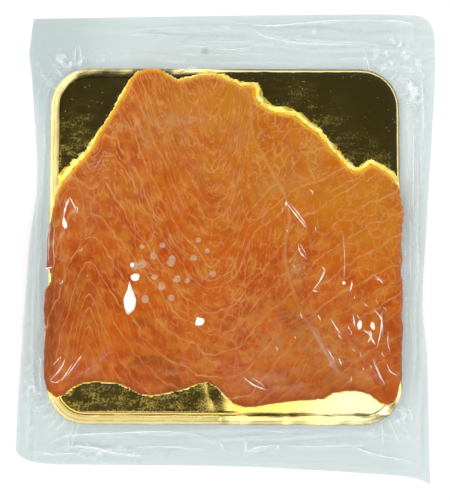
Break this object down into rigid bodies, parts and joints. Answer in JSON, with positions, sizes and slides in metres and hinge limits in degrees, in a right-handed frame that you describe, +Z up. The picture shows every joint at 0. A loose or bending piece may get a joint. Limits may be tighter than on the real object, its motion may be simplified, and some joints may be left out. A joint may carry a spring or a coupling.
{
  "type": "pack of smoked salmon",
  "caption": "Flat clear vacuum pack with overlapping slices of smoked salmon on a gold card, drawn down by the top film to a flat margin.",
  "frame": {"origin": "centre of the underside, on the surface that the pack lies on", "axes": "+X to the right and +Y to the back as the pack is seen from above, +Z up out of the film"},
  "size_m": [0.214, 0.242, 0.0114],
  "materials": {
    "film": "clear glossy film, slightly cool",
    "gold_card": "card with mirror-like gold foil above and a pale back",
    "salmon": "moist orange flesh with pale veins"
  },
  "bodies": {
    "root": {"film_base": "film", "film_top": "film", "gold_card": "gold_card", "salmon_back": "salmon", "salmon_right": "salmon", "salmon_left": "salmon"}
  },
  "joints": []
}
